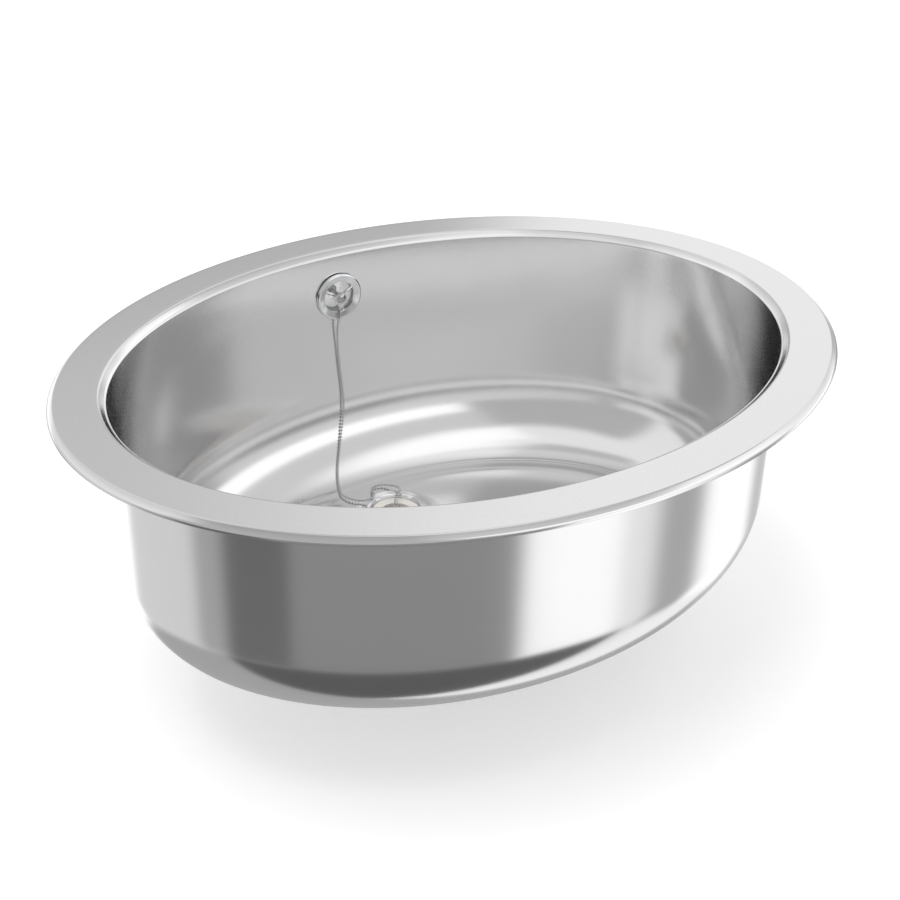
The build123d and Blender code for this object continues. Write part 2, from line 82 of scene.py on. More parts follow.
# Basin
# One blank of 0.8 mm austenitic stainless sheet, deep drawn to an oval bowl with
# a raised flat rim. The bowl is polished, the rim brushed, and a hole is punched
# for the overflow.
sheet = 0.8 * mm
overall_length = 530 * mm
overall_width = 412 * mm
skirt_reach = 4 * mm
half_length = overall_length / 2 - skirt_reach
half_width = overall_width / 2 - skirt_reach
rim_height = 4 * mm
rim_flat = 27 * mm
step_foot = (30.4 * mm, 0.6 * mm)
wall_inset = 31.8 * mm
wall_top = 0.4 * mm
wall_depth = -111 * mm
wall_draft = math.radians(0.9)
rim_corners = [
    (-skirt_reach, 0),
    (0, rim_height),
    (rim_flat, rim_height),
    step_foot,
    (wall_inset, wall_top),
    (wall_inset + (wall_top - wall_depth) * math.tan(wall_draft), wall_depth),
]
rim_radii = [1.5 * mm, 2.5 * mm, 1.0 * mm, 1.2 * mm]
bottom_bends = [(58.7 * mm, 73.1), (20 * mm, 10), (10 * mm, -10), (35 * mm, 13.5)]
floor_start_slope = math.radians(2.5)
floor_ease = 12 * mm
waste_y = 79.983 * mm
dish_top = -169.724 * mm
dish_radius = 27.5 * mm
dish_bend = 3 * mm
seat_radius = 24 * mm
seat_top = dish_top - 1.3 * mm
waste_hole_radius = 19.6 * mm
overflow_z = -32 * mm
overflow_hole_radius = 15 * mm


def add_arc(points, ways, radius, turn):
    """Adds a tangent arc to a line's points and headings: at angle a it lies
    r (h sin a + s (1 - cos a)) from its start, where h is the heading there and s
    the side it turns to. It has a point for every three degrees, at least five."""
    start, before = points[-1], ways[-1]
    side = np.array([-before[1], before[0]]) * np.sign(turn)
    count = max(5, int(abs(turn) / math.radians(3)))
    for angle in np.arange(1, count + 1) * abs(turn) / count:
        points.append(start + radius * (before * math.sin(angle) + side * (1 - math.cos(angle))))
        ways.append(before * math.cos(angle) + side * math.sin(angle))


def rounded_line(corners, radii, step):
    """Points and headings along straight runs joined by tangent arcs.

    At a corner with turn w the arc of radius r starts r tan(w / 2) before it, and
    its points and headings turn evenly from one run to the next. A straight run
    gets a point for about every step of its length.
    """
    corners = [np.array(corner, float) for corner in corners]
    headings = [b - a for a, b in zip(corners, corners[1:])]
    headings = [h / np.linalg.norm(h) for h in headings]
    points, ways = [corners[0]], [headings[0]]

    def run_to(place, heading):
        """Adds evenly spaced points of a straight run up to a place."""
        length = np.linalg.norm(place - points[-1])
        count = max(2, int(length / step))
        shares = np.arange(1, count + 1)[:, None] / count
        points.extend(points[-1] + shares * (place - points[-1]))
        ways.extend([heading] * count)

    for corner, radius, before, after in zip(corners[1:-1], radii, headings, headings[1:]):
        turn = math.atan2(before[0] * after[1] - before[1] * after[0], before @ after)
        reach = radius * math.tan(abs(turn) / 2)
        run_to(corner - before * reach, before)
        add_arc(points, ways, radius, turn)
    run_to(corners[-1], headings[-1])
    return np.array(points), np.array(ways)


def add_bends(points, ways, bends):
    """Continues a line with arcs from its last point and heading. Each is a radius
    and a turn in degrees, positive where the line turns up towards level."""
    points, ways = list(points), list(ways)
    for radius, degrees in bends:
        add_arc(points, ways, radius, math.radians(degrees))
    return np.array(points), np.array(ways)


def oval(turn, inset):
    """The point at an inset from the rim's flat edge: the edge ellipse
    (a cos t, b sin t), moved inwards along the ellipse's own normal."""
    x, y = half_length * np.cos(turn), half_width * np.sin(turn)
    nx, ny = np.cos(turn) / half_length, np.sin(turn) / half_width
    size = np.hypot(nx, ny)
    return x - inset * nx / size, y - inset * ny / size


def piece_from_faces(name, vertices, faces, body, slot):
    """A smooth-shaded mesh object from arrays of vertices and faces, closed and with
    its faces outwards, riding on a body. The slot it is given is not used."""
    mesh = bpy.data.meshes.new(name)
    mesh.from_pydata(vertices.tolist(), [], faces)
    mesh.validate()
    work = bmesh.new()
    work.from_mesh(mesh)
    bmesh.ops.remove_doubles(work, verts=work.verts, dist=1e-7)
    bmesh.ops.recalc_face_normals(work, faces=work.faces)
    work.to_mesh(mesh)
    work.free()
    mesh.shade_smooth()
    piece = bpy.data.objects.new(name, mesh)
    bpy.context.scene.collection.objects.link(piece)
    if body:
        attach(piece, body)
    return piece


def grid_faces(rows, columns, close_rows, close_columns):
    """Quads of a grid of points numbered row by row, wrapped where it is closed."""
    i = np.arange(rows if close_rows else rows - 1)[:, None]
    j = np.arange(columns if close_columns else columns - 1)[None, :]
    down, across = (i + 1) % rows, (j + 1) % columns
    quads = np.stack(
        [
            i * columns + j,
            i * columns + across,
            down * columns + across,
            down * columns + j,
        ],
        axis=-1,
    )
    return quads.reshape(-1, 4).tolist()


line, ways = rounded_line(rim_corners, rim_radii, 4 * mm)
line, ways = add_bends(line, ways, bottom_bends)
columns = 288
turns = np.arange(columns) * 2 * math.pi / columns
turn_grid = np.repeat(turns[None, :], len(line), axis=0)
inset_grid = np.repeat(line[:, 0][:, None], columns, axis=1)
height_grid = np.repeat(line[:, 1][:, None], columns, axis=1)
lean_grid = np.repeat(ways[:, 1][:, None], columns, axis=1)
flow_grid = np.repeat(ways[:, 0][:, None], columns, axis=1)

# The punched hole: cells of the wall round the overflow are opened to a circle,
# and the cells next to it give way by less and less
on_wall = (line[:, 1] <= wall_top) & (line[:, 1] >= wall_depth)
first_wall, last_wall = np.flatnonzero(on_wall)[[0, -1]]
hole_row = first_wall + int(np.argmin(np.abs(line[first_wall:last_wall, 1] - overflow_z)))
hole_column = columns // 4
block_rows, block_columns = 3, 3
wall_radius = half_length - wall_inset
row_index = (np.arange(len(line)) - hole_row)[:, None]
column_index = (np.arange(columns) - hole_column)[None, :]
reach = np.maximum(abs(row_index) / block_rows, abs(column_index) / block_columns)
away_x = -(turn_grid - math.pi / 2) * wall_radius
away_z = height_grid - overflow_z
away = np.maximum(np.hypot(away_x, away_z), 1e-9)
fade = np.clip((reach - 1) / 1.5, 0, 1)
fade = fade * fade * (3 - 2 * fade)
scale = np.where(on_wall[:, None], (1 - fade) * overflow_hole_radius / away + fade, 1)
turn_grid = math.pi / 2 - away_x * scale / wall_radius
moved_z = np.where(on_wall[:, None], overflow_z + away_z * scale, height_grid)
inset_grid = inset_grid - (moved_z - height_grid) * math.tan(wall_draft)
height_grid = moved_z

good_x, good_y = oval(turn_grid, inset_grid)
good = np.stack([good_x, good_y, height_grid], axis=-1)
back_x, back_y = oval(turn_grid, inset_grid + sheet * lean_grid)
outside = np.stack([back_x, back_y, height_grid - sheet * flow_grid], axis=-1)

# The floor runs straight from the bowl's last bend to the dish, and eases into both
floor_rows = 22
share = ((np.arange(1, floor_rows + 1)) / floor_rows)[:, None]
rim_x, rim_y, rim_z = good[-1, :, 0], good[-1, :, 1], line[-1, 1]
dish_x = dish_radius * np.cos(turns)
dish_y = waste_y + dish_radius * np.sin(turns)
length = np.hypot(dish_x - rim_x, dish_y - rim_y)[None, :]
run = share * length
ease = np.minimum(floor_ease, length / 4)
slope = math.tan(floor_start_slope) - (rim_z - dish_top) / length
floor = np.stack(
    [
        rim_x + share * (dish_x - rim_x),
        rim_y + share * (dish_y - rim_y),
        rim_z + share * (dish_top - rim_z) - slope * run * np.exp(-run / ease) * (1 - share),
    ],
    axis=-1,
)
dish_line = rounded_line(
    [
        (dish_radius + dish_bend, dish_top),
        (dish_radius, dish_top),
        (seat_radius, seat_top),
        (waste_hole_radius, seat_top),
    ],
    [dish_bend, dish_bend],
    2 * mm,
)[0]
dish_line = dish_line[dish_line[:, 0] < dish_radius - 0.3 * mm]
dish = np.stack(
    [
        dish_line[:, 0][:, None] * np.cos(turns),
        waste_y + dish_line[:, 0][:, None] * np.sin(turns),
        np.repeat(dish_line[:, 1][:, None], columns, axis=1),
    ],
    axis=-1,
)
inside = np.concatenate([good, floor, dish])
under = np.concatenate([outside, floor - [0, 0, sheet], dish - [0, 0, sheet]])
rows = len(inside)
vertices = np.concatenate([inside, under[::-1]]).reshape(-1, 3)
quads = grid_faces(2 * rows, columns, True, True)
corner_rows, corner_columns = np.divmod(np.array(quads), columns)
corner_rows = np.where(corner_rows >= rows, 2 * rows - 1 - corner_rows, corner_rows)
in_hole = (abs(corner_rows - hole_row) <= block_rows) & (
    abs(corner_columns - hole_column) <= block_columns
)
quads = [quad for quad, gone in zip(quads, in_hole.all(axis=1)) if not gone]
low, high = hole_row - block_rows, hole_row + block_rows
left, right_end = hole_column - block_columns, hole_column + block_columns
edge = (
    [(low, c) for c in range(left, right_end)]
    + [(r, right_end) for r in range(low, high)]
    + [(high, c) for c in range(right_end, left, -1)]
    + [(r, left) for r in range(high, low, -1)]
)
for (r0, c0), (r1, c1) in zip(edge, edge[1:] + edge[:1]):
    quads.append(
        (
            r0 * columns + c0,
            (2 * rows - 1 - r0) * columns + c0,
            (2 * rows - 1 - r1) * columns + c1,
            r1 * columns + c1,
        )
    )
basin = piece_from_faces("basin_sheet", vertices, quads, "basin", "stainless_sheet")
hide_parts("basin_shell")


def linear(code, alpha=1.0):
    """An sRGB hex colour as linear red, green, blue and alpha."""
    channels = [int(code[i : i + 2], 16) / 255 for i in (0, 2, 4)]
    return [c / 12.92 if c <= 0.04045 else ((c + 0.055) / 1.055) ** 2.4 for c in channels] + [alpha]


def node(tree, kind, inputs=(), **settings):
    """Adds a node with its settings. An input given as a socket is linked to it,
    and any other is set as the value."""
    made = tree.nodes.new(kind)
    for name, value in settings.items():
        setattr(made, name, value)
    for name, value in dict(inputs).items():
        if isinstance(value, bpy.types.NodeSocket):
            tree.links.new(value, made.inputs[name])
        else:
            made.inputs[name].default_value = value
    return made


def surface(name, **settings):
    """A new material, its node tree and its Principled shader, whose sockets take
    the settings by name with underscores for spaces."""
    material = bpy.data.materials.new(name)
    material.use_nodes = True
    shader = material.node_tree.nodes["Principled BSDF"]
    for key, value in settings.items():
        shader.inputs[key.replace("_", " ")].default_value = value
    return material, material.node_tree, shader


def dress(material, *pieces):
    """Gives every face of each piece one material."""
    for piece in pieces:
        data = (bpy.data.objects[piece] if isinstance(piece, str) else piece).data
        data.materials.clear()
        data.materials.append(material)


def grained(name, light, dark, grain, rough, relief=0.0, stretch=(1, 1, 1), **settings):
    """A solid whose colour wanders between two close tones and whose roughness
    wanders between two values, over spots of a grain size. Relief is their height."""
    material, tree, shader = surface(name, **settings)
    place = node(tree, "ShaderNodeTexCoord").outputs["Object"]
    placed = node(tree, "ShaderNodeMapping", {"Vector": place, "Scale": stretch}).outputs["Vector"]
    spots = node(tree, "ShaderNodeTexNoise", {"Vector": placed, "Scale": 1 / grain, "Detail": 3.0})
    clouds = node(tree, "ShaderNodeTexNoise", {"Vector": place, "Scale": 25.0, "Detail": 2.0})
    tone = node(
        tree,
        "ShaderNodeMix",
        {"Factor": clouds.outputs["Fac"], 6: linear(dark), 7: linear(light)},
        data_type="RGBA",
    )
    tree.links.new(tone.outputs[2], shader.inputs["Base Color"])
    finish = node(
        tree,
        "ShaderNodeMapRange",
        {"Value": spots.outputs["Fac"], "To Min": rough[0], "To Max": rough[1]},
    )
    tree.links.new(finish.outputs["Result"], shader.inputs["Roughness"])
    if relief:
        bump = node(tree, "ShaderNodeBump", {"Height": spots.outputs["Fac"], "Distance": relief})
        tree.links.new(bump.outputs["Normal"], shader.inputs["Normal"])
    return material


def basin_steel():
    """Austenitic stainless steel: the drawn bowl is polished, with soft reflections,
    and the flat rim is brushed and darker. The polish and the brush marks are about
    0.1 mm apart, too fine to show, and are drawn about ten times coarser."""
    step_low, step_high = 1.2 * mm, 3.9 * mm
    marks_per_metre = 900.0
    material = grained(
        "basin_steel", "E8E8E8", "E4E4E4", 1.0 * mm, (0.14, 0.18), stretch=(1, 1, 4), Metallic=1.0
    )
    tree = material.node_tree
    shader = tree.nodes["Principled BSDF"]
    polished = shader.inputs["Base Color"].links[0].from_socket
    place = node(tree, "ShaderNodeTexCoord").outputs["Object"]
    height = node(tree, "ShaderNodeSeparateXYZ", {0: place}).outputs[2]
    on_rim = node(
        tree,
        "ShaderNodeMapRange",
        {"Value": height, "From Min": step_low, "From Max": step_high},
    ).outputs["Result"]
    marks = node(
        tree, "ShaderNodeTexNoise", {"Vector": place, "Scale": marks_per_metre, "Detail": 2.0}
    )
    brushed = node(
        tree,
        "ShaderNodeMix",
        {"Factor": marks.outputs["Fac"], 6: linear("C9C9C9"), 7: linear("D0D0D0")},
        data_type="RGBA",
    ).outputs[2]
    colour = node(
        tree, "ShaderNodeMix", {"Factor": on_rim, 6: polished, 7: brushed}, data_type="RGBA"
    )
    tree.links.new(colour.outputs[2], shader.inputs["Base Color"])
    return material


dress(basin_steel(), basin)

# Rim seal
# A flat strip of moulded EPDM foam, stuck under the rim so that no water runs
# between the rim and the worktop.
epdm_rubber = grained("epdm_rubber", "2A2A2A", "202020", 0.6 * mm, (0.6, 0.8), 0.03 * mm)
dress(epdm_rubber, "rim_seal")

# Overflow rosette
# A ring, three half-round spokes and a boss, cast in one from zinc, polished and
# chromed. A screw through the boss clamps it to the elbow behind the wall.
ring_back = 168.777 * mm
ring_depth = 2.4 * mm
ring_front = ring_back - ring_depth
ring_radius = 18 * mm
ring_opening = 12.2 * mm
spoke_back = ring_back - 0.8 * mm
spoke_depth = 1.4 * mm
spoke_half_width = 1.1 * mm
boss_height = 1.5 * mm
boss_front = spoke_back - spoke_depth - boss_height
boss_radius = 3.4 * mm
boss_hole = 2.4 * mm


def turned(profile, steps=120):
    """A closed turned solid: each point (r, h) of the section goes round Z as
    (r cos t, r sin t, h). Its last point repeats the first and is left out."""
    r, h = profile[:-1, 0][:, None], profile[:-1, 1][:, None]
    t = np.arange(steps) * 2 * math.pi / steps
    points = np.stack([r * np.cos(t), r * np.sin(t), h + 0 * t], axis=-1)
    return points.reshape(-1, 3), grid_faces(len(r), steps, True, True)


def bar(section, stations):
    """A closed bar along X: the section (y, z), scaled by s about its first point's
    height, at each station (x, s). Its two ends shrink to nothing."""
    section, stations = np.array(section), np.array(stations)
    x, s = stations[:, 0][:, None], stations[:, 1][:, None]
    base = section[0, 1]
    y, z = section[:, 0][None, :] * s, base + (section[:, 1][None, :] - base) * s
    points = np.stack([x + 0 * y, y, z], axis=-1).reshape(-1, 3)
    faces = grid_faces(len(stations), len(section), False, True)
    return points, faces


def about_z(points, degrees):
    """Points turned about the Z axis."""
    x, y, z = points.T
    cosine, sine = math.cos(math.radians(degrees)), math.sin(math.radians(degrees))
    return np.stack([x * cosine - y * sine, x * sine + y * cosine, z], axis=-1)


def together(*parts):
    """Joins the vertices and faces of several parts into one set."""
    vertices, faces = [], []
    for points, quads in parts:
        first = sum(len(v) for v in vertices)
        vertices.append(points)
        faces.extend([[corner + first for corner in face] for face in quads])
    return np.concatenate(vertices), faces


def facing_rear(points):
    """Points built about Z, turned so that their +Z points to the rear, and moved to
    the overflow. Their +Y then points down."""
    x, y, z = points.T
    return np.stack([x, z, overflow_z - y], axis=-1)


ring_section = rounded_line(
    [
        (15 * mm, ring_back),
        (ring_radius, ring_back),
        (ring_radius, ring_front),
        (ring_radius - 1.6 * mm, ring_front),
        (ring_opening, ring_front + 0.8 * mm),
        (ring_opening, ring_back),
        (15 * mm, ring_back),
    ],
    [0.2 * mm, 1.3 * mm, 0.6 * mm, 0.5 * mm, 0.2 * mm],
    0.7 * mm,
)[0]
boss_section = rounded_line(
    [
        (3 * mm, spoke_back),
        (boss_radius, spoke_back),
        (boss_radius, boss_front),
        (boss_hole, boss_front),
        (boss_hole, spoke_back),
        (3 * mm, spoke_back),
    ],
    [0.2 * mm, 0.4 * mm, 0.1 * mm, 0.1 * mm],
    0.5 * mm,
)[0]
half_round = np.linspace(0, math.pi, 15)
spoke_section = np.stack(
    [spoke_half_width * np.cos(half_round), spoke_back - spoke_depth * np.sin(half_round)], axis=-1
)
spoke_stations = [(2.6 * mm, 0), (2.6 * mm, 1), (7 * mm, 1), (12.7 * mm, 1), (12.7 * mm, 0)]
spoke, spoke_faces = bar(spoke_section, spoke_stations)
rosette_mesh = together(
    turned(ring_section),
    turned(boss_section, 64),
    *[(about_z(spoke, angle), spoke_faces) for angle in (90, 210, 330)],
)
rosette = piece_from_faces(
    "rosette", facing_rear(rosette_mesh[0]), rosette_mesh[1], "basin", "chrome"
)
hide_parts("overflow_rosette")

# Bright chromium plate over nickel: a clear, cool mirror with faint polishing haze.
chrome_plate = grained("chrome_plate", "F0F1F2", "E8E9EB", 0.8 * mm, (0.08, 0.14), Metallic=1.0)
dress(chrome_plate, rosette)

# Chain stay and screw
# A teardrop pressed from thin stainless strip, and a domed slotted screw turned
# from stainless bar, which holds stay and rosette.
turned_stainless = grained(
    "turned_stainless", "C4C4C5", "B4B4B6", 0.5 * mm, (0.14, 0.24), 0.004 * mm, Metallic=1.0
)
pressed_stainless = grained(
    "pressed_stainless", "DADADA", "D0D0D1", 0.6 * mm, (0.16, 0.26), 0.004 * mm, Metallic=1.0
)
dress(pressed_stainless, "chain_stay")
dress(turned_stainless, "overflow_screw")

# Elbow, its seal and its nut
# An elbow moulded from milky polypropylene behind the wall, whose thin wall glows
# with the light behind it, sealed with a rubber ring. Its nut is tinned brass.
milky_polypropylene = grained(
    "milky_polypropylene",
    "FFFFFF",
    "FDFDFD",
    0.4 * mm,
    (0.45, 0.6),
    IOR=1.49,
    Subsurface_Weight=1.0,
    Subsurface_Radius=(30 * mm, 30 * mm, 30 * mm),
    Subsurface_Scale=1.0,
)
tinned_brass = grained("tinned_brass", "F2F1EE", "E9E8E4", 0.5 * mm, (0.3, 0.4), Metallic=1.0)
dress(milky_polypropylene, "overflow_elbow")
dress(tinned_brass, "overflow_insert")
white_polypropylene = grained(
    "white_polypropylene", "F4F4F2", "EEEEEC", 0.4 * mm, (0.35, 0.5), 0.01 * mm, IOR=1.49
)
dress(white_polypropylene, "upper_hose_collar", "lower_hose_collar")
dress(epdm_rubber, "overflow_gasket")

# Overflow hose
# A corrugated hose of grey flexible PVC with plain cuffs, pushed on the elbow's
# spigot and bent forward under the bowl to the waste.
hose_line = 184.241 * mm
hose_start = -52.7 * mm
hose_turn_height = -196.824 * mm
hose_end = 116.483 * mm
hose_bend = 46 * mm
hose_cuff = 22 * mm
hose_bore = 9.1 * mm
hose_groove = 10.2 * mm
hose_crest = 11.4 * mm
hose_chamfer = 0.3 * mm
hose_sides = 48
rib_pitch = 5 * mm
hose_fall = hose_start - hose_turn_height - hose_bend
hose_run = hose_line - hose_bend - hose_end
hose_length = hose_fall + hose_bend * math.pi / 2 + hose_run


def hose_place(distance):
    """The centre (y, z) and heading angle below the horizon of the hose at a
    distance along it: straight down, a quarter bend forward, then level."""
    turn = np.clip((distance - hose_fall) / hose_bend, 0, math.pi / 2)
    fall = np.minimum(distance, hose_fall)
    run = np.maximum(distance - hose_fall - hose_bend * math.pi / 2, 0)
    y = hose_line - hose_bend * (1 - np.cos(turn)) - run
    z = hose_start - fall - hose_bend * np.sin(turn)
    return y, z, turn


ribs = round((hose_length - 2 * hose_cuff) / rib_pitch)
rib_phase = np.linspace(0, ribs, ribs * 10 + 1)
rib_rise = np.clip(0.5 - 1.1 * np.cos(2 * math.pi * rib_phase), 0, 1)
rib_zone = hose_cuff + rib_phase / ribs * (hose_length - 2 * hose_cuff)
outer = [
    (0, hose_groove - hose_chamfer),
    (hose_chamfer, hose_groove),
    (hose_cuff / 2, hose_groove),
]
outer += list(zip(rib_zone, hose_groove + (hose_crest - hose_groove) * rib_rise))
outer += [
    (hose_length - hose_cuff / 2, hose_groove),
    (hose_length - hose_chamfer, hose_groove),
    (hose_length, hose_groove - hose_chamfer),
]
bore = [(distance, hose_bore) for distance in np.linspace(hose_length, 0, 40)]
hose_rows = np.array(outer + bore)
hose_y, hose_z, hose_heading = [value[:, None] for value in hose_place(hose_rows[:, 0])]
round_hose = np.arange(hose_sides) * 2 * math.pi / hose_sides
hose_radius = hose_rows[:, 1][:, None]
hose_out = hose_radius * np.sin(round_hose)
hose_points = np.stack(
    [
        hose_radius * np.cos(round_hose),
        hose_y + hose_out * np.cos(hose_heading),
        hose_z - hose_out * np.sin(hose_heading),
    ],
    axis=-1,
).reshape(-1, 3)
hose_faces = grid_faces(len(hose_rows), hose_sides, True, True)
hose = piece_from_faces("ribbed_hose", hose_points, hose_faces, "basin", "grey_hose")
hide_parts("overflow_hose")
flexible_pvc = grained(
    "flexible_pvc", "CDD0D1", "C2C5C7", 0.8 * mm, (0.32, 0.48), 0.01 * mm, IOR=1.53
)
dress(flexible_pvc, hose)

# Waste flange
# A ring with a rolled lip and a coned seat, spun from brass with a cross-armed
# grate at its foot, and chromed. A screw through the grate pulls it on its seal.
flange_underside = -170.224 * mm
flange_radius = 22.2 * mm
flange_crest = flange_underside + 1.8 * mm
flange_tube = 19.2 * mm
flange_mouth = 18.9 * mm
flange_throat = 17.6 * mm
tube_bottom = flange_underside - 14 * mm
grate_top = tube_bottom + 1.6 * mm
grate_hub = 5 * mm
screw_hole = 3.4 * mm
arm_half_width = 1.5 * mm
arm_chamfer = 0.3 * mm


def at_waste(points):
    """Points built about Z, moved to the waste's axis."""
    return points + [0, waste_y, 0]


flange_section = rounded_line(
    [
        (20.6 * mm, flange_underside),
        (flange_radius, flange_underside),
        (flange_radius, flange_crest),
        (21.1 * mm, flange_crest),
        (20.4 * mm, flange_crest - 0.4 * mm),
        (19.7 * mm, flange_crest),
        (flange_mouth, flange_underside + 1.0 * mm),
        (flange_mouth, flange_underside),
        (flange_throat, flange_underside - 3 * mm),
        (flange_throat, tube_bottom),
        (flange_tube, tube_bottom),
        (flange_tube, flange_underside),
        (20.6 * mm, flange_underside),
    ],
    [0.3 * mm, 1.0 * mm, 0.5 * mm, 0.5 * mm, 0.4 * mm, 0.3 * mm]
    + [0.6 * mm, 0.8 * mm, 0.2 * mm, 0.2 * mm, 0.2 * mm],
    0.6 * mm,
)[0]
hub_section = rounded_line(
    [
        (4.2 * mm, tube_bottom),
        (grate_hub, tube_bottom),
        (grate_hub, grate_top),
        (screw_hole, grate_top),
        (screw_hole, tube_bottom),
        (4.2 * mm, tube_bottom),
    ],
    [0.2 * mm, 0.3 * mm, 0.1 * mm, 0.1 * mm],
    0.5 * mm,
)[0]
arm_section = [
    (arm_half_width, tube_bottom),
    (arm_half_width, grate_top - arm_chamfer),
    (arm_half_width - arm_chamfer, grate_top),
    (arm_chamfer - arm_half_width, grate_top),
    (-arm_half_width, grate_top - arm_chamfer),
    (-arm_half_width, tube_bottom),
]
arm_stations = [(3.8 * mm, 0), (3.8 * mm, 1), (18.4 * mm, 1), (18.4 * mm, 0)]
arm, arm_faces = bar(arm_section, arm_stations)
flange_mesh = together(
    turned(flange_section, 160),
    turned(hub_section, 64),
    *[(about_z(arm, angle), arm_faces) for angle in (45, 135, 225, 315)],
)
flange = piece_from_faces(
    "waste_ring", at_waste(flange_mesh[0]), flange_mesh[1], "basin", "chrome"
)
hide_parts("waste_flange")
dress(chrome_plate, flange)

# Waste body, seals, nut and screw
# The body under the floor is moulded from white polypropylene with a brass nut in
# its hub. A long stainless screw squeezes the floor between two rubber rings.
dress(white_polypropylene, "waste_body")
turned_brass = grained("turned_brass", "D9B468", "C9A257", 0.5 * mm, (0.22, 0.35), Metallic=1.0)
dress(epdm_rubber, "flange_seal", "waste_seal")
dress(turned_brass, "waste_insert")
dress(turned_stainless, "waste_screw")

# Plug
# A ring of cream ABS, injection moulded, with a raised bead round its hollow. A
# rubber disc closes it from below, its dark brown painted shade for the hollow, and a steel eye is
# riveted through both.
plug_top = flange_underside
plug_bottom = plug_top - 5.6 * mm
plug_edge = 18.55 * mm
plug_cone = 17.25 * mm
hollow_radius = 11.2 * mm
plug_section = rounded_line(
    [
        (14 * mm, plug_bottom),
        (plug_cone, plug_bottom),
        (plug_cone, plug_top - 3 * mm),
        (plug_edge, plug_top - 0.1 * mm),
        (13.4 * mm, plug_top - 0.7 * mm),
        (12.9 * mm, plug_top),
        (hollow_radius + 0.3 * mm, plug_top),
        (hollow_radius, plug_bottom),
        (14 * mm, plug_bottom),
    ],
    [0.3 * mm, 0.8 * mm, 0.4 * mm, 0.25 * mm, 0.5 * mm, 0.6 * mm, 0.2 * mm],
    0.6 * mm,
)[0]
plug_points, plug_faces = turned(plug_section, 160)
plug = piece_from_faces(
    "plug_ring", at_waste(plug_points), plug_faces, "waste_plug", "cream_moulding"
)
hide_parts("plug")
cream_abs = grained(
    "cream_abs", "E6E2DC", "E0DBD5", 0.5 * mm, (0.22, 0.34), 0.006 * mm, IOR=1.54
)
# Painted shade: the stopper's dark brown stands in for the shade at the bottom of the plug's
# hollow.
brown_rubber = grained("brown_rubber", "4A3F3E", "3E3433", 0.6 * mm, (0.5, 0.7), 0.02 * mm)
dress(cream_abs, plug)
dress(brown_rubber, "plug_stopper")
dress(pressed_stainless, "plug_eye")

# Ball chain
# Hollow balls 2.1 mm across, rolled from nickel-plated steel strip, one every 2.5 mm
# on short pins, with a cup at each end. They are drawn a little shorter than they
# are wide, so that they show apart. The chain hangs by the wall and lies on the floor.
ball_radius = 1.05 * mm
ball_half_length = 0.8 * mm
ball_pitch = 2.5 * mm
pin_radius = 0.26 * mm
pin_edges = 6

# Points given, in millimetres, from the stay to the plug
chain_route = [
    (-1.378, 164.815, -46.933),
    (-3.023, 165.341, -53.51),
    (-2.7, 166.5, -64.5),
    (-1.9, 167.0, -77.0),
    (-1.1, 166.8, -90.0),
    (0.6, 166.5, -104.0),
    (1.7, 166.0, -117.0),
    (-0.4, 163.0, -130.0),
    (-5.6, 157.0, -142.4),
    (-10.4, 150.2, -150.2),
    (-15.6, 142.8, -156.2),
    (-20.8, 133.6, -161.2),
    (-25.2, 123.6, -164.9),
    (-28.0, 113.0, -166.7),
    (-21.8, 104.6, -167.6),
    (-15.2, 100.2, -167.8),
    (-8.6, 100.9, -167.7),
    (-5.0, 104.5, -167.6),
    (-4.6, 110.4, -167.5),
    (-0.7, 113.7, -167.3),
    (7.1, 112.2, -166.9),
    (13.2, 106.0, -166.6),
    (14.2, 101.5, -165.6),
    (11.5, 94.2, -163.9),
    (5.628, 91.507, -164.539),
    (3.276, 86.691, -166.162),
]


def spline_points(route):
    """Points of the smooth NURBS line whose control points are the route."""
    curve = bpy.data.curves.new("chain_line", "CURVE")
    curve.dimensions = "3D"
    curve.resolution_u = 24
    spline = curve.splines.new("NURBS")
    spline.points.add(len(route) - 1)
    for point, place in zip(spline.points, route):
        point.co = (*[value * mm for value in place], 1)
    spline.order_u = 3
    spline.use_endpoint_u = True
    holder = bpy.data.objects.new("chain_line", curve)
    bpy.context.scene.collection.objects.link(holder)
    bpy.context.view_layer.update()
    mesh = bpy.data.meshes.new_from_object(holder)
    points = np.array([vertex.co[:] for vertex in mesh.vertices])
    bpy.data.objects.remove(holder)
    bpy.data.curves.remove(curve)
    bpy.data.meshes.remove(mesh)
    return points


def spaced(points, distances):
    """Places at given distances along a line of points."""
    steps = np.linalg.norm(np.diff(points, axis=0), axis=1)
    along = np.concatenate([[0], np.cumsum(steps)])
    return np.stack([np.interp(distances, along, points[:, axis]) for axis in range(3)], axis=-1)


def frames_along(points):
    """Heading, side and lift of each point of a line. Each side is the one before
    it, made square to the new heading, so that a tube doesn't twist."""
    headings = np.gradient(points, axis=0)
    headings /= np.linalg.norm(headings, axis=1)[:, None]
    side = np.array([1.0, 0, 0])
    sides = []
    for heading in headings:
        side = side - heading * (side @ heading)
        side = side / np.linalg.norm(side)
        sides.append(side)
    sides = np.array(sides)
    return headings, sides, np.cross(headings, sides)


chain_line = spline_points(chain_route)
line_length = float(np.linalg.norm(np.diff(chain_line, axis=0), axis=1).sum())
ball_count = round(line_length / ball_pitch)
ball_places = spaced(chain_line, (np.arange(ball_count) + 0.5) * line_length / ball_count)
pin_line = spaced(chain_line, np.linspace(0, line_length, ball_count * 3))
pin_sides, pin_lifts = frames_along(pin_line)[1:]
round_pin = (np.arange(pin_edges) * 2 * math.pi / pin_edges)[None, :, None]
pin_points = pin_line[:, None] + pin_radius * (
    np.cos(round_pin) * pin_sides[:, None] + np.sin(round_pin) * pin_lifts[:, None]
)
pin_faces = grid_faces(len(pin_line), pin_edges, False, True)
last_ring = (len(pin_line) - 1) * pin_edges
pin_faces += [list(range(pin_edges))[::-1], list(range(last_ring, last_ring + pin_edges))]

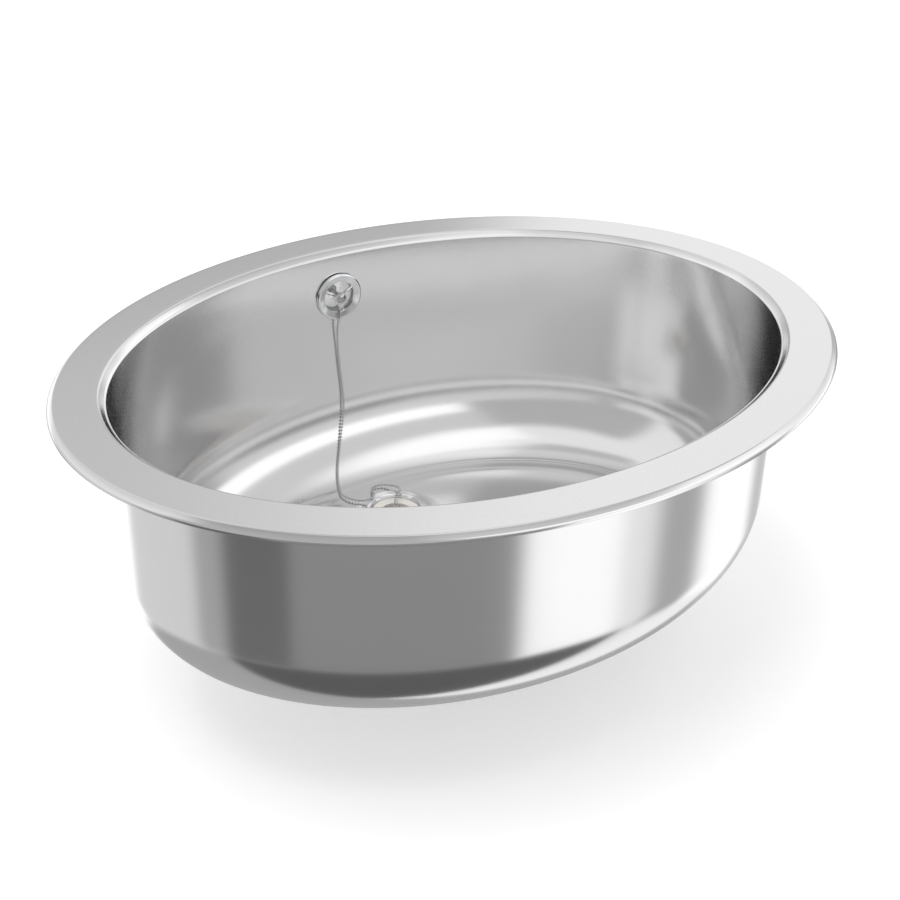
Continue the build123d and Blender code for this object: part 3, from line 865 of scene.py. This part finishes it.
# One ball: rings at heights sin(v) along the chain's heading, of radius cos(v)
ball_sides, ball_rings = 10, 7
v = np.linspace(-0.47, 0.47, ball_rings)[:, None] * math.pi
u = (np.arange(ball_sides) * 2 * math.pi / ball_sides)[None, :]
unit_ball = np.stack([np.cos(v) * np.cos(u), np.cos(v) * np.sin(u), np.sin(v) + 0 * u], axis=-1)
unit_ball = unit_ball.reshape(-1, 3) * [ball_radius, ball_radius, ball_half_length]
headings, sides, lifts = frames_along(ball_places)
ball_axes = np.stack([sides, lifts, headings], axis=1)
ball_points = ball_places[:, None] + unit_ball @ ball_axes
ball_mesh = grid_faces(ball_rings, ball_sides, False, True)
last_side = (ball_rings - 1) * ball_sides
ball_mesh += [list(range(ball_sides))[::-1], list(range(last_side, last_side + ball_sides))]
chain_mesh = together(
    (pin_points.reshape(-1, 3), pin_faces), *[(points, ball_mesh) for points in ball_points]
)
ball_chain = piece_from_faces("ball_chain", *chain_mesh, None, "chain_metal")
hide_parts("chain")
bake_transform(ball_chain)
nickel_plate = grained("nickel_plate", "D6D6D8", "C4C4C7", 0.8 * mm, (0.16, 0.26), Metallic=1.0)
# Painted shade: the pins are dark grey to stand in for the shade between the balls.
pin_painted_shade = grained("pin_painted_shade", "8E8E90", "7C7C7F", 0.8 * mm, (0.35, 0.5), Metallic=1.0)
dress(nickel_plate, ball_chain, "upper_chain_end", "lower_chain_end")
ball_chain.data.materials.append(pin_painted_shade)
is_pin = np.arange(len(ball_chain.data.polygons)) < len(pin_faces)
ball_chain.data.polygons.foreach_set("material_index", is_pin.astype(np.int32))
ball_chain.data.update()

# Floor
# A plain white floor just under the waste, which shows the shadow but leaves the
# metal to reflect the room.
floor_height = -236.2 * mm
floor_reach = 4.0
floor_mesh = bpy.data.meshes.new("studio_floor")
floor_mesh.from_pydata(
    [
        (x * floor_reach, y * floor_reach, floor_height)
        for x, y in ((-1, -1), (1, -1), (1, 1), (-1, 1))
    ],
    [],
    [(0, 1, 2, 3)],
)
studio_floor = bpy.data.objects.new("studio_floor", floor_mesh)
bpy.context.scene.collection.objects.link(studio_floor)
studio_floor.visible_glossy = False
floor_glow = 0.3
floor_material, floor_tree, floor_shader = surface("floor_paint", Roughness=0.9)
floor_shader.inputs["Base Color"].default_value = linear("F4F4F4")
seen = node(floor_tree, "ShaderNodeLightPath").outputs["Is Camera Ray"]
glow = node(floor_tree, "ShaderNodeMath", {0: seen, 1: floor_glow}, operation="MULTIPLY")
floor_shader.inputs["Emission Color"].default_value = (1, 1, 1, 1)
floor_tree.links.new(glow.outputs[0], floor_shader.inputs["Emission Strength"])
dress(floor_material, studio_floor)

# Light
# A round white studio: the pieces are lit evenly from all sides, a soft lamp above
# gives the shadow, and polished metal sees large soft cards and a dark drape.
world = bpy.data.worlds.new("studio")
bpy.context.scene.world = world
world.use_nodes = True
world.cycles.sampling_method = "NONE"
room_level = 0.8
studio_level = 0.95

# Each card is the bearing of its middle from +X towards +Y, its half width, its
# lowest and highest elevation and the width of its soft edge, all in degrees, and
# its brightness
cards = [
    (-135, 46, 5, 62, 12, 0.52),
    (60, 26, 3, 19, 12, 0.58),
    (82, 42, 20, 67, 12, 1.12),
    (80, 42, 67, 90, 8, 0.55),
    (90, 24, 16, 42, 16, 0.84),
    (44, 15, 14, 42, 14, 1.3),
    (68, 11, 10, 26, 6, 0.6),
    (-30, 40, 10, 24, 12, 1.15),
    (-38, 60, 22, 38, 5, 1.34),
    (-38, 64, 39, 61, 5, 0.72),
    (-45, 62, 65, 84, 8, 1.28),
    (176, 12, -45, 4, 14, 0.42),
    (-160, 17, -45, 4, 8, 0.16),
    (-112, 36, -45, 4, 5, 0.3),
    (-60, 14, -45, 4, 5, 1.25),
    (-25, 9, -45, 4, 8, 0.42),
    (0, 14, -45, 4, 8, 1.28),
    (27, 9, -45, 4, 8, 0.58),
    (60, 24, -45, 4, 12, 1.0),
    (99, 14, -45, 4, 10, 1.3),
    (140, 26, -45, 4, 12, 0.75),
    (-110, 72, -90, -44, 4, 0.12),
    (-8, 20, -90, -44, 8, 1.05),
    (96, 84, -90, -44, 6, 0.43),
]


def smooth_step(tree, value, start, end):
    """Rises smoothly from 0 at start to 1 at end, which may lie below start."""
    return node(
        tree,
        "ShaderNodeMapRange",
        {"Value": value, "From Min": math.radians(start), "From Max": math.radians(end)},
        interpolation_type="SMOOTHSTEP",
    ).outputs["Result"]


def lay_card(tree, direction, beneath, middle, half_width, low, high, blur, level):
    """Lays one soft-edged card over the light beneath it."""
    to_middle = node(
        tree,
        "ShaderNodeVectorRotate",
        {"Vector": direction, "Angle": -math.radians(middle)},
        rotation_type="Z_AXIS",
    ).outputs["Vector"]
    parts = node(tree, "ShaderNodeSeparateXYZ", {0: to_middle}).outputs
    bearing = node(tree, "ShaderNodeMath", {0: parts[1], 1: parts[0]}, operation="ARCTAN2")
    away = node(tree, "ShaderNodeMath", {0: bearing.outputs[0]}, operation="ABSOLUTE").outputs[0]
    rise = node(tree, "ShaderNodeMath", {0: parts[2]}, operation="ARCSINE").outputs[0]
    half = blur / 2
    across = smooth_step(tree, away, half_width + half, half_width - half)
    over = smooth_step(tree, rise, low - half, low + half)
    under = smooth_step(tree, rise, high + half, high - half)
    covered = node(tree, "ShaderNodeMath", {0: across, 1: over}, operation="MULTIPLY").outputs[0]
    covered = node(tree, "ShaderNodeMath", {0: covered, 1: under}, operation="MULTIPLY").outputs[0]
    return node(tree, "ShaderNodeMix", {"Factor": covered, 2: beneath, 3: level}).outputs[0]


sky_tree = world.node_tree
direction = node(sky_tree, "ShaderNodeTexCoord").outputs["Generated"]
light = studio_level
for card in cards:
    light = lay_card(sky_tree, direction, light, *card)
path = node(sky_tree, "ShaderNodeLightPath").outputs
light = node(
    sky_tree, "ShaderNodeMix", {"Factor": path["Is Glossy Ray"], 2: room_level, 3: light}
).outputs[0]
light = node(
    sky_tree, "ShaderNodeMix", {"Factor": path["Is Camera Ray"], 2: light, 3: 1.0}
).outputs[0]
sky = sky_tree.nodes["Background"]
sky.inputs["Color"].default_value = (1, 1, 1, 1)
sky_tree.links.new(light, sky.inputs["Strength"])

lamp_place = Vector((-0.5, -0.2, 1.6))
lamp_away = Vector((-0.5, -0.2, 1.8))
lamp_data = bpy.data.lights.new("soft_lamp", "AREA")
lamp_data.shape = "DISK"
lamp_data.size = 1.2
lamp_data.energy = 14
lamp = bpy.data.objects.new("soft_lamp", lamp_data)
lamp_turn = lamp_away.to_track_quat("Z", "Y").to_matrix().to_4x4()
lamp.matrix_world = Matrix.Translation(lamp_place) @ lamp_turn
lamp.visible_glossy = False
bpy.context.scene.collection.objects.link(lamp)
bpy.context.scene.view_settings.view_transform = "Standard"
